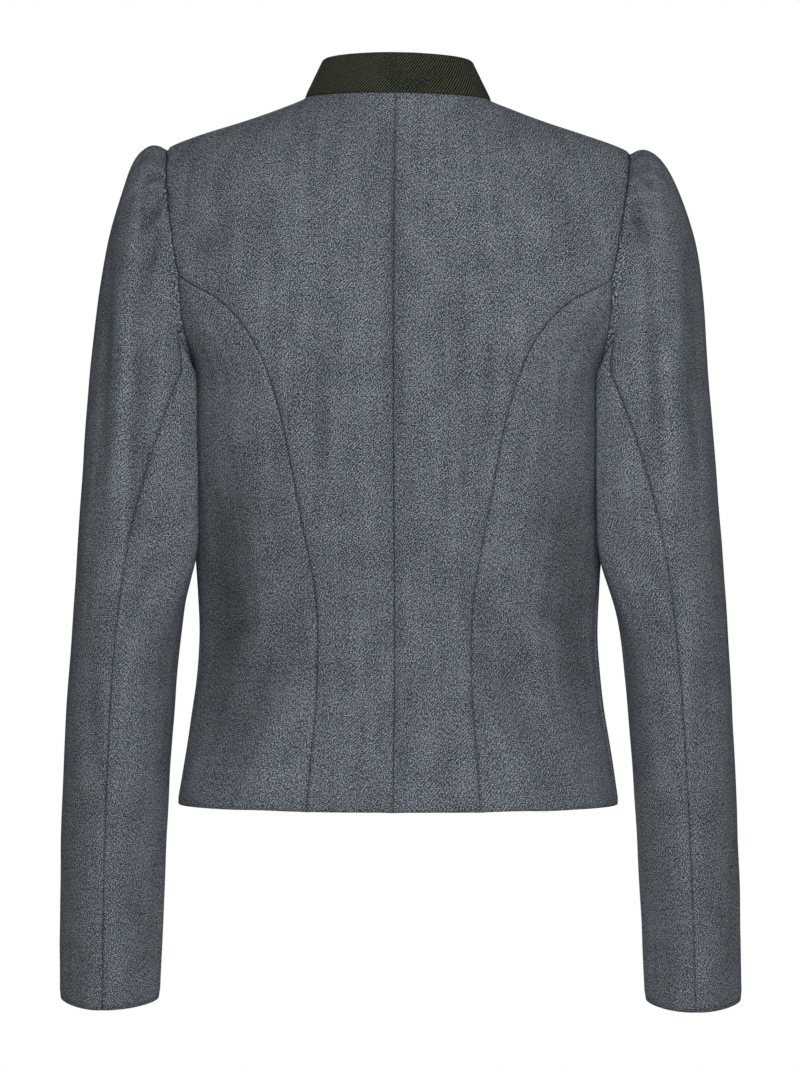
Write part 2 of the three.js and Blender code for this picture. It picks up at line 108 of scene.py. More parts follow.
def middle_at(name, point):
    """The point inside the jacket that a piece's outer side faces away from."""
    if "sleeve" not in name:
        return Vector((0.0, 0.0, min(point.z, -0.12)))
    side = 1 if name.endswith("left") else -1
    across, along, _, _ = between(SLEEVE_AXIS, point.z)
    return Vector((side * across, along, min(point.z, -0.12)))


def outer_skin(name):
    """A bmesh of the outer skin of one frame piece."""
    bm = bmesh.new()
    bm.from_mesh(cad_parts[name].data)
    bmesh.ops.remove_doubles(bm, verts=bm.verts, dist=FACETS_TOUCH)
    bm.faces.ensure_lookup_table()
    bm.normal_update()
    group = {}
    for face in bm.faces:
        if face in group:
            continue
        number = len(set(group.values()))
        front = [face]
        group[face] = number
        while front:
            here = front.pop()
            for edge in here.edges:
                if len(edge.link_faces) != 2 or edge.calc_face_angle(pi) > SHARP:
                    continue
                for other in edge.link_faces:
                    if other not in group:
                        group[other] = number
                        front.append(other)
    facing = {}
    area = {}
    for face, number in group.items():
        centre = face.calc_center_median()
        outward = face.normal.dot((centre - middle_at(name, centre)).normalized())
        facing[number] = facing.get(number, 0.0) + outward * face.calc_area()
        area[number] = area.get(number, 0.0) + face.calc_area()
    large = [n for n in area if area[n] > LARGE * max(area.values())]
    outer = max(large, key=lambda n: facing[n])
    skin_verts = {v for face in bm.faces if group[face] == outer for v in face.verts}
    rest = [face for face in bm.faces if not all(v in skin_verts for v in face.verts)]
    bmesh.ops.delete(bm, geom=rest, context="FACES")
    return bm


# %% [markdown]
# The facets are triangles, and a smooth surface wants quads in even rows. Each triangle of such a
# net has one edge along a row, one down a column and one diagonal, always in the same turning
# order. So the three families can be told apart by walking over the net, and the family that never
# reaches an edge of the cloth is the diagonals: taking those out leaves the rows and columns that
# the panels were drawn on. Subdivision then turns each net into flowing cloth.

# %% Take out the diagonals
def square_up(bm):
    """Turns pairs of triangles into the quads of the net they lie on."""
    bm.faces.ensure_lookup_table()
    start = bm.faces[0]
    family = {loop.edge: turn for turn, loop in enumerate(start.loops)}
    front = [start]
    reached = {start}
    while front:
        for loop in front.pop().loops:
            for other in loop.edge.link_faces:
                if other in reached:
                    continue
                edges = [corner.edge for corner in other.loops]
                shared = edges.index(loop.edge)
                for step in (1, 2):
                    family[edges[(shared + step) % 3]] = (family[loop.edge] + step) % 3
                reached.add(other)
                front.append(other)
    at_rim = {family[edge] for edge in bm.edges if edge.is_boundary}
    diagonal = ({0, 1, 2} - at_rim).pop()
    bmesh.ops.dissolve_edges(
        bm, edges=[edge for edge in bm.edges if family[edge] == diagonal], use_verts=False
    )


# %% Sew skins into one net and smooth it
def sewn_net(names):
    """One bmesh of quads from several skins, welded where they are sewn together."""
    net = bmesh.new()
    for number, name in enumerate(names):
        skin = outer_skin(name)
        square_up(skin)
        mark = skin.faces.layers.int.new("piece")
        for face in skin.faces:
            face[mark] = number
        mesh = bpy.data.meshes.new("skin")
        skin.to_mesh(mesh)
        skin.free()
        net.from_mesh(mesh)
        bpy.data.meshes.remove(mesh)
    edge_verts = [v for v in net.verts if v.is_boundary]
    bmesh.ops.remove_doubles(net, verts=edge_verts, dist=WELD)
    return net


def family_of(name):
    """Which part of the jacket a piece belongs to: its body, its collar or one of its sleeves."""
    if "sleeve" in name:
        return name.rsplit("_", 1)[1] + " sleeve"
    return "collar" if "collar" in name else "body"


def keep_folded(net, names):
    """Marks the seams where the cloth turns sharply, so that smoothing leaves them."""
    mark = net.faces.layers.int["piece"]
    crease = net.edges.layers.float.new("crease_edge")
    for edge in net.edges:
        families = {family_of(names[face[mark]]) for face in edge.link_faces}
        if len(families) > 1:
            edge[crease] = NECK_CREASE if "collar" in families else ARMHOLE_CREASE


def spread_rings(net, names):
    """Evens out the rings of a sleeve that lie crowded together below the shoulder."""
    mark = net.faces.layers.int["piece"]
    sleeve = {v for f in net.faces if "sleeve" in names[f[mark]] for v in f.verts}
    body = {v for f in net.faces if "sleeve" not in names[f[mark]] for v in f.verts}
    reached = set(sleeve & body)
    front = list(reached)
    near = []
    for _ in range(SPREAD_RINGS):
        front = [e.other_vert(v) for v in front for e in v.link_edges]
        front = [v for v in dict.fromkeys(front) if v in sleeve and v not in reached]
        reached.update(front)
        near += [v for v in front if v.co.z < SPREAD_BELOW and abs(v.co.x) < SPREAD_WITHIN]
    for _ in range(SPREAD_TIMES):
        bmesh.ops.smooth_vert(
            net, verts=near, factor=0.5, use_axis_x=True, use_axis_y=True, use_axis_z=True
        )


def smoothed(net, levels):
    """The net as a finely subdivided bmesh."""
    mesh = bpy.data.meshes.new("net")
    net.to_mesh(mesh)
    net.free()
    shape = bpy.data.objects.new("net", mesh)
    bpy.context.scene.collection.objects.link(shape)
    modifier = shape.modifiers.new("smooth", "SUBSURF")
    modifier.levels = modifier.render_levels = levels
    modifier.boundary_smooth = "PRESERVE_CORNERS"
    fine = bmesh.new()
    fine.from_object(shape, bpy.context.evaluated_depsgraph_get())
    bpy.data.objects.remove(shape)
    bpy.data.meshes.remove(mesh)
    return fine


# %% Make the net
SIDES = ("left", "right")
BODY_PARTS = ("back", "side_back", "side_front", "front")
SLEEVE_PARTS = ("topsleeve", "undersleeve")
BODY_PIECES = [f"{part}_{side}" for part in BODY_PARTS for side in SIDES]
SLEEVE_PIECES = [f"{part}_{side}" for part in SLEEVE_PARTS for side in SIDES]
PIECES = BODY_PIECES + SLEEVE_PIECES + ["stand_collar"]
LEVELS = 3
NECK_CREASE = 1.0
ARMHOLE_CREASE = 0.6
SPREAD_RINGS = 4  # how many rings of a sleeve, from the armhole on, are evened out
SPREAD_BELOW = -0.075
SPREAD_WITHIN = 0.185
SPREAD_TIMES = 6
jacket_net = sewn_net(PIECES)
spread_rings(jacket_net, PIECES)
keep_folded(jacket_net, PIECES)
print("net:", len(jacket_net.faces), "faces,", sum(e.is_boundary for e in jacket_net.edges), "open edges")
fine = smoothed(jacket_net, LEVELS)
print("smoothed:", len(fine.faces), "faces")

# %% [markdown]
# Loden is thick and felted, so it doesn't wrinkle sharply: it gives soft troughs where there is a
# little cloth to spare. Each one is written down here as a line on the surface with a half
# width and a depth. They are uneven on purpose. Those on the back follow what the cloth does
# between shoulder blades and waist; the fronts get similar ones from bust to waist.

# %% Creases and folds, in metres
# x and z of the top, x and z of the bottom, half width, depth (a ridge is negative)
BACK_FOLDS = [
    (0.0000, -0.040, 0.0000, -0.300, 0.0090, 0.0031),
    (0.0000, -0.250, 0.0000, -0.505, 0.0070, 0.0014),
    (0.0540, -0.165, 0.0510, -0.290, 0.0085, 0.0029),
    (-0.0450, -0.125, -0.0480, -0.235, 0.0080, 0.0026),
    (-0.0500, -0.225, -0.0495, -0.290, 0.0060, 0.0017),
    (-0.0690, -0.185, -0.0640, -0.280, 0.0080, 0.0024),
    (0.0880, -0.240, 0.0760, -0.345, 0.0100, 0.0020),
    (0.0550, -0.340, 0.1200, -0.470, 0.0140, 0.0037),
    (0.0760, -0.430, 0.0960, -0.508, 0.0150, -0.0031),
    (-0.0560, -0.345, -0.1060, -0.490, 0.0140, 0.0034),
    (-0.0780, -0.440, -0.0900, -0.508, 0.0160, -0.0026),
    (0.1200, -0.085, 0.1450, -0.120, 0.0120, 0.0027),
    (-0.1180, -0.080, -0.1450, -0.112, 0.0120, 0.0022),
    (0.1000, -0.375, 0.1350, -0.392, 0.0070, 0.0020),
    (-0.1020, -0.368, -0.1360, -0.380, 0.0065, 0.0017),
    (0.1120, -0.350, 0.1400, -0.362, 0.0060, 0.0015),
    (0.1230, -0.275, 0.1350, -0.450, 0.0250, 0.0080),
    (-0.1250, -0.280, -0.1360, -0.445, 0.0240, 0.0055),
]
FRONT_FOLDS = [
    (0.0740, -0.250, 0.0640, -0.360, 0.0090, 0.0024),
    (-0.0700, -0.245, -0.0620, -0.350, 0.0085, 0.0026),
    (0.1180, -0.100, 0.1000, -0.170, 0.0120, 0.0031),
    (-0.1150, -0.096, -0.1010, -0.160, 0.0120, 0.0027),
    (0.1050, -0.372, 0.1340, -0.384, 0.0070, 0.0020),
    (-0.1080, -0.366, -0.1350, -0.380, 0.0070, 0.0019),
    (0.0400, -0.395, 0.0560, -0.490, 0.0130, -0.0024),
    (-0.0420, -0.400, -0.0540, -0.485, 0.0130, -0.0020),
]
# The same columns, for the left sleeve and for the right sleeve, seen from behind.
SLEEVE_FOLDS = {
    "left": [
        (0.2080, -0.095, 0.2110, -0.270, 0.0070, 0.0034),
        (0.1770, -0.090, 0.1830, -0.320, 0.0075, 0.0044),
        (0.1920, -0.120, 0.1960, -0.300, 0.0075, -0.0022),
        (0.1690, -0.0535, 0.1810, -0.062, 0.0025, 0.0052),
        (0.1660, -0.072, 0.1800, -0.096, 0.0029, 0.0058),
        (0.1680, -0.100, 0.1790, -0.132, 0.0036, 0.0030),
        (0.1620, -0.330, 0.2030, -0.372, 0.0075, 0.0026),
        (0.1700, -0.372, 0.2120, -0.398, 0.0070, 0.0022),
        (0.2200, -0.395, 0.2120, -0.520, 0.0085, 0.0020),
        (0.1860, -0.560, 0.1900, -0.645, 0.0085, 0.0014),
    ],
    "right": [
        (-0.1810, -0.140, -0.1830, -0.265, 0.0075, 0.0042),
        (-0.1940, -0.165, -0.1960, -0.300, 0.0080, -0.0026),
        (-0.2120, -0.080, -0.2150, -0.265, 0.0075, 0.0032),
        (-0.1730, -0.055, -0.1860, -0.066, 0.0027, 0.0048),
        (-0.1680, -0.080, -0.1790, -0.106, 0.0030, 0.0050),
        (-0.1640, -0.325, -0.2000, -0.360, 0.0075, 0.0027),
        (-0.1720, -0.368, -0.2140, -0.402, 0.0070, 0.0020),
        (-0.2210, -0.400, -0.2140, -0.510, 0.0085, 0.0019),
        (-0.1900, -0.555, -0.1940, -0.640, 0.0085, 0.0015),
    ],
}
# Gathers at the sleeve head: angle round the armhole (90 is the shoulder), half width, depth, reach.
GATHERS = [
    (164, 5.0, 0.0012, 0.020),
    (149, 4.0, 0.0016, 0.026),
    (137, 3.5, 0.0013, 0.018),
    (124, 4.5, 0.0018, 0.024),
    (111, 3.5, 0.0014, 0.020),
    (99, 4.0, 0.0017, 0.022),
    (86, 3.5, 0.0015, 0.019),
    (73, 4.5, 0.0018, 0.026),
    (60, 4.0, 0.0014, 0.021),
    (47, 3.5, 0.0019, 0.028),
    (33, 5.0, 0.0015, 0.030),
    (18, 4.5, 0.0017, 0.024),
]
print(len(BACK_FOLDS), "folds on the back,", len(FRONT_FOLDS), "on the fronts,", len(GATHERS), "gathers")

# %% How deep a fold presses
ARMHOLE_MIDDLE = (0.005, -0.1175)  # y and z
GATHER_FULLNESS = 1.7
GATHER_SHIFT = 3.0  # degrees, so that the two sleeve heads aren't mirror images
FOLD_OVERRUN = 0.15  # a fold fades out this share of its length past each end
FOLD_BLUNTNESS = 0.8
TURNED_AWAY = 1.6  # how soon a fold is at its full depth as the cloth turns to face front or back


def along_fold(x, z, fold):
    """How far into the cloth one fold presses at a place."""
    x0, z0, x1, z1, half_width, depth = fold
    run = hypot(x1 - x0, z1 - z0)
    along = ((x - x0) * (x1 - x0) + (z - z0) * (z1 - z0)) / run**2
    if not -FOLD_OVERRUN < along < 1 + FOLD_OVERRUN:
        return 0.0
    aside = ((x - x0) * (z1 - z0) - (z - z0) * (x1 - x0)) / run
    taper = sin(pi * (along + FOLD_OVERRUN) / (1 + 2 * FOLD_OVERRUN)) ** FOLD_BLUNTNESS
    return depth * taper * exp(-((aside / half_width) ** 2))


def pressed(point, normal, folds):
    """The depth of all folds on the side of the piece that a place faces."""
    facing = min(abs(normal.y) * TURNED_AWAY, 1.0)
    return sum(along_fold(point.x, point.z, fold) for fold in folds) * facing


def gathered(point, side, from_seam):
    """The depth of the gathers at a place on the sleeve head."""
    angle = atan2(point.z - ARMHOLE_MIDDLE[1], point.y - ARMHOLE_MIDDLE[0]) * 180 / pi
    shift = GATHER_SHIFT if side == "left" else -GATHER_SHIFT
    depth = 0.0
    for at, half_width, deep, reach in GATHERS:
        near = exp(-(((angle - at - shift) / half_width) ** 2))
        depth += GATHER_FULLNESS * deep * near * exp(-((from_seam / reach) ** 2))
    return depth


print("gathers are", GATHER_FULLNESS, "times as deep as listed")

# %% [markdown]
# The sleeves aren't stiff tubes either. Where an arm hangs beside the body, the cloth at its inner
# back rests along the side and follows it. Towards the wrist the pressed sleeve is no longer round:
# it lies flatter, with a soft edge at its front and back. And the two sides never hang alike.

# %% Hang the sleeves
BODY_GIRTH = [  # half width of the body, depth of its back, depth of its front
    (0.000, 0.070, 0.060, 0.030),
    (-0.035, 0.168, 0.076, 0.057),
    (-0.085, 0.190, 0.096, 0.088),
    (-0.134, 0.183, 0.105, 0.112),
    (-0.200, 0.149, 0.106, 0.134),
    (-0.325, 0.149, 0.087, 0.116),
    (-0.385, 0.145, 0.077, 0.103),
    (-0.460, 0.154, 0.094, 0.111),
    (-0.510, 0.161, 0.107, 0.117),
]
BODY_POWER = 2.35
CUFF_FLAT = 0.80
CUFF_EDGE = 1.04
BESIDE = 0.0032  # how close a sleeve comes to the body
LEAN = 0.021  # how far the inner back of a sleeve leans in, where along +Y, and over what width
LEAN_AT = 0.046
LEAN_HALF = 0.030
LEAN_STARTS = (-0.160, -0.204)
LEAN_ENDS = (-0.312, -0.405)
FLAT_FROM = (-0.43, -0.63)  # the sleeve gets flatter between these heights
EDGE_BLUNTNESS = 0.42
THINNEST = 0.04
SHOULDER_TILT = 0.013  # the left shoulder hangs a little higher
SIDE_SHIFTS = [  # side, height, half height, outer edge outwards, inner edge inwards
    ("right", -0.100, 0.070, 0.0055, 0.0),
    ("right", -0.440, 0.120, 0.0, -0.0010),
    ("left", -0.470, 0.170, 0.0, 0.0030),
    ("left", -0.620, 0.100, 0.0, 0.0022),
    ("left", -0.340, 0.110, -0.0022, 0.0),
    ("left", -0.060, 0.030, -0.0030, 0.0),
]


print("sleeves lean in by at most", LEAN)


# %% How a sleeve hangs
def ease(start, end, value):
    """0 before start, 1 after end, and smooth between them."""
    share = min(max((value - start) / (end - start), 0.0), 1.0)
    return share * share * (3.0 - 2.0 * share)


def body_side(point):
    """How far out the side of the body is, beside a point of a sleeve."""
    half, back, front = between(BODY_GIRTH, point.z)
    depth = back if point.y > 0 else front
    share = min(abs(point.y) / depth, 0.999)
    return half * (1.0 - share**BODY_POWER) ** (1.0 / BODY_POWER)


def hung(name, point):
    """Where a point of a sleeve comes to lie when the sleeve hangs."""
    side = 1 if name.endswith("left") else -1
    across, along, width, _ = between(SLEEVE_AXIS, point.z)
    out = side * point.x - across
    if out < 0:
        near = ease(*LEAN_STARTS, point.z) * (1.0 - ease(*LEAN_ENDS, point.z))
        lean = LEAN * near * ease(0.0, -0.030, out) * exp(-(((point.y - LEAN_AT) / LEAN_HALF) ** 2))
        room = side * point.x - body_side(point) - BESIDE
        out -= max(min(lean, room), 0.0)
    flat = ease(*FLAT_FROM, point.z)
    share = min(abs(out) / width, 1.0)
    roundness = max(1.0 - (share / CUFF_EDGE) ** 2, THINNEST)
    squeeze = 1.0 + flat * (CUFF_FLAT * roundness**EDGE_BLUNTNESS - 1.0)
    for which, height, half_height, outer, inner in SIDE_SHIFTS:
        if name.endswith(which):
            near = exp(-(((point.z - height) / half_height) ** 2))
            out += near * share * (outer if out > 0 else -inner)
    return Vector((side * (across + out), along + (point.y - along) * squeeze, point.z))


# %% [markdown]
# Wool cloth is cut with its threads running down the piece, and the fine twill lines climb to the
# right on its face. A pattern that should follow the cloth needs coordinates that lie on the cloth,
# so every piece gets its own flat coordinates in metres: across the piece and up it. On the body
# they are read off along the direction the piece faces, on a sleeve they are unrolled round it.

# %% Lay the grain of each piece
ARC_STEPS = 12
GIRTH_STEP = 0.01
GIRTH_LEVELS = 68
GIRTH_TURNS = 36
COLLAR_RADIUS = 0.065


def part_and_side(name):
    """The part that a piece is, and 1 for the wearer's left or -1 for the right."""
    part, side = name.rsplit("_", 1)
    return part, 1 if side == "left" else -1


def arc_length(across, depth, start, end):
    """The length round an ellipse between two of its angles."""
    step = (end - start) / ARC_STEPS
    turns = [start + step * (number + 0.5) for number in range(ARC_STEPS)]
    return step * sum(hypot(across * sin(turn), depth * cos(turn)) for turn in turns)


# %% Flat coordinates of a sleeve
def sleeve_girths(name):
    """For every centimetre of height, the length round a hung sleeve from its piece's middle."""
    part, side = part_and_side(name)
    facing = side if part == "topsleeve" else -side
    table = []
    for level in range(GIRTH_LEVELS):
        z = -level * GIRTH_STEP
        across, along, width, depth = between(SLEEVE_AXIS, z)
        lengths = {}
        for direction in (1, -1):
            length = 0.0
            last = None
            for number in range(GIRTH_TURNS + 1):
                turn = direction * pi * number / GIRTH_TURNS
                x = side * across + facing * width * cos(turn)
                here = hung(name, Vector((x, along + facing * depth * sin(turn), z)))
                length += (here - last).length if last else 0.0
                last = here
                lengths[direction * number] = direction * length
        table.append(lengths)
    return table


def round_sleeve(name, point):
    """The length round a hung sleeve from the middle of a piece of it to a point not yet hung."""
    part, side = part_and_side(name)
    facing = side if part == "topsleeve" else -side
    across, along, width, depth = between(SLEEVE_AXIS, point.z)
    turn = atan2(facing * (point.y - along) / depth, facing * (point.x - side * across) / width)
    place = turn / pi * GIRTH_TURNS
    column = min(floor(place), GIRTH_TURNS - 1)
    level = min(max(-point.z / GIRTH_STEP, 0.0), GIRTH_LEVELS - 1.001)
    row = floor(level)
    table = girths[name]
    sums = [
        table[r][column] * (1 - place + column) + table[r][column + 1] * (place - column)
        for r in (row, row + 1)
    ]
    return sums[0] * (1 - level + row) + sums[1] * (level - row)


# %% Flat coordinates of every piece
def grain_at(name, point):
    """Where a place of a piece lies on the flat cloth, in metres."""
    part, side = part_and_side(name)
    if "sleeve" in part:
        return round_sleeve(name, point), point.z
    if part == "stand":
        return COLLAR_RADIUS * atan2(-point.x, point.y), point.z
    half, back, front = between(BODY_GIRTH, point.z)
    depth = back if point.y > 0 else front
    turn = atan2(point.y / depth, point.x / half)
    start = {"back": pi / 2, "front": -pi / 2}.get(part, 0.0 if side > 0 else pi)
    return arc_length(half, depth, start, start + remainder(turn - start, 2 * pi)), point.z


girths = {name: sleeve_girths(name) for name in SLEEVE_PIECES}
print("girths of", len(girths), "sleeve pieces at", GIRTH_LEVELS, "heights")

# %% [markdown]
# Now the net takes its shape. Every point of a sleeve is hung, and then every point is pushed in
# along its normal by the sum of what presses there: the folds, the gathers, a little unevenness
# and a soft roll along each seam. The depth of the folds and gathers is kept as an attribute, which
# the cloth's material reads later to paint shade into the creases and light onto the ridges.

# %% Helpers for shaping
SEAM_SOFT = 0.0030  # how far the pressed roll reaches from a seam
SEAM_DEPTH = 0.0005
ARMHOLE_SOFT = 0.0060
ARMHOLE_DEPTH = 0.0005
UNEVEN = 0.0005
UNEVEN_SCALE = 28.0


def tree_of(points):
    """A search tree over some places."""
    tree = KDTree(len(points))
    for number, point in enumerate(points):
        tree.insert(point, number)
    tree.balance()
    return tree


def press(name, point, normal):
    """How deep the folds press at a place of a piece."""
    family = family_of(name)
    if family == "collar":
        return 0.0
    if family == "body":
        return pressed(point, normal, BACK_FOLDS if normal.y > 0 else FRONT_FOLDS)
    return pressed(point, normal, SLEEVE_FOLDS[name.rsplit("_", 1)[1]])


# %% Shape the net
# This attribute carries the depth of folds and gathers to the material, where it paints shade into
# creases and light onto ridges.
painted_shade_depth = fine.verts.layers.float.new("painted_shade_depth")
outward = fine.verts.layers.float_vector.new("outward")
grain = fine.loops.layers.uv.new("grain")
mark = fine.faces.layers.int["piece"]
owner = {}
sewn = []
armholes = []
for vert in fine.verts:
    names = sorted({PIECES[face[mark]] for face in vert.link_faces})
    owner[vert] = names[-1]
    if len(names) > 1:
        sewn.append(vert)
    if len({family_of(name) for name in names} - {"collar"}) > 1:
        armholes.append(vert)
for face in fine.faces:
    for loop in face.loops:
        loop[grain].uv = grain_at(PIECES[face[mark]], loop.vert.co)
for vert in fine.verts:
    if "sleeve" in owner[vert]:
        vert.co = hung(owner[vert], vert.co)
    vert.co.z += SHOULDER_TILT * vert.co.x * ease(-0.30, -0.06, vert.co.z)
fine.normal_update()
sewn_tree = tree_of([vert.co for vert in sewn])
armhole_tree = tree_of([vert.co for vert in armholes])
moves = {}
for vert in fine.verts:
    name = owner[vert]
    from_armhole = armhole_tree.find(vert.co)[2]
    depth = press(name, vert.co, vert.normal)
    if "sleeve" in name:
        depth += gathered(vert.co, name.rsplit("_", 1)[1], from_armhole)
    vert[painted_shade_depth] = depth
    depth += UNEVEN * noise.noise(vert.co * UNEVEN_SCALE)
    depth += SEAM_DEPTH * exp(-((sewn_tree.find(vert.co)[2] / SEAM_SOFT) ** 2))
    depth += ARMHOLE_DEPTH * exp(-((from_armhole / ARMHOLE_SOFT) ** 2))
    moves[vert] = vert.normal * depth
for vert, move in moves.items():
    vert.co -= move
fine.normal_update()
for vert in fine.verts:
    vert[outward] = vert.normal
print("seam points:", len(sewn), "of which round the armholes:", len(armholes))

# %% [markdown]
# A seam is where two edges turn under and meet, so it reads as a fine line with a soft roll on
# each side. The net is cut apart again along its seams, each edge gets a narrow strip of its own
# by an inset, and the strip's outermost line is pressed down a hair. Neighbours press it the same
# way, so they still share their seam. Last comes the thickness: a Solidify modifier that grows
# inwards, so the outside stays where it was shaped.

# %% Cut the net into its pieces
EDGE_STRIP = 0.0009
SLEEVE_EDGE_STRIP = 0.0006
EDGE_DROP = 0.0007
CLOTH = 0.0018
COLLAR_CLOTH = 0.0028


def roll_edges(piece, strip):
    """Gives the cut edges of a piece a narrow strip that rolls under."""
    outward = piece.verts.layers.float_vector["outward"]
    edge = [(vert.co.copy(), vert[outward].copy()) for vert in piece.verts if vert.is_boundary]
    tree = tree_of([co for co, _ in edge])
    bmesh.ops.inset_region(piece, faces=piece.faces, thickness=strip, use_even_offset=True)
    for vert in piece.verts:
        if vert.is_boundary:
            _, number, _ = tree.find(vert.co)
            vert.co = edge[number][0] - edge[number][1] * EDGE_DROP


shown = {}


def add_cloth(name, piece, thickness):
    """Makes a finished piece of cloth from its bmesh."""
    roll_edges(piece, SLEEVE_EDGE_STRIP if "sleeve" in name else EDGE_STRIP)
    mesh = bpy.data.meshes.new(name + "_cloth")
    piece.to_mesh(mesh)
    piece.free()
    mesh.shade_smooth()
    cloth = bpy.data.objects.new(name + "_cloth", mesh)
    bpy.context.scene.collection.objects.link(cloth)
    wall = cloth.modifiers.new("thickness", "SOLIDIFY")
    wall.thickness = thickness
    wall.offset = -1.0
    wall.use_even_offset = False
    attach(cloth, "root")
    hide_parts(name)
    shown[name] = cloth
    print(name, len(mesh.polygons), "faces")


for number, name in enumerate(PIECES):
    piece = fine.copy()
    mark = piece.faces.layers.int["piece"]
    bmesh.ops.delete(piece, geom=[f for f in piece.faces if f[mark] != number], context="FACES")
    add_cloth(name, piece, COLLAR_CLOTH if "collar" in name else CLOTH)
fine.free()

# %% [markdown]
# Loden is spun from fibres dyed light and dark, woven as a twill and then felted, so close up it is
# a salt-and-pepper of fibres with faint diagonal lines that come and go, and from further away it
# has soft patches that lean to blue or to brown. Each of these is a texture of its own size, and a
# colour ramp turns their sum into fibre colours. The nap catches light at a flat angle: that is sheen.

# %% Cloth material
def node(tree, kind, **settings):
    """Adds a shader node, and sets each value on the socket or setting of that name."""
    made = tree.nodes.new(kind)
    for key, value in settings.items():
        if key in made.inputs:
            made.inputs[key].default_value = value
        else:
            setattr(made, key, value)
    return made


def weighed_sum(tree, parts):
    """Adds textures round their middle value: the result is 0.5 where all are at their middle."""
    total = None
    for socket, weight in parts:
        scaled = node(tree, "ShaderNodeMath", operation="MULTIPLY_ADD")
        tree.links.new(socket, scaled.inputs[0])
        scaled.inputs[1].default_value = weight
        if total is None:
            scaled.inputs[2].default_value = 0.5 - 0.5 * sum(w for _, w in parts)
        else:
            tree.links.new(total, scaled.inputs[2])
        total = scaled.outputs[0]
    return total


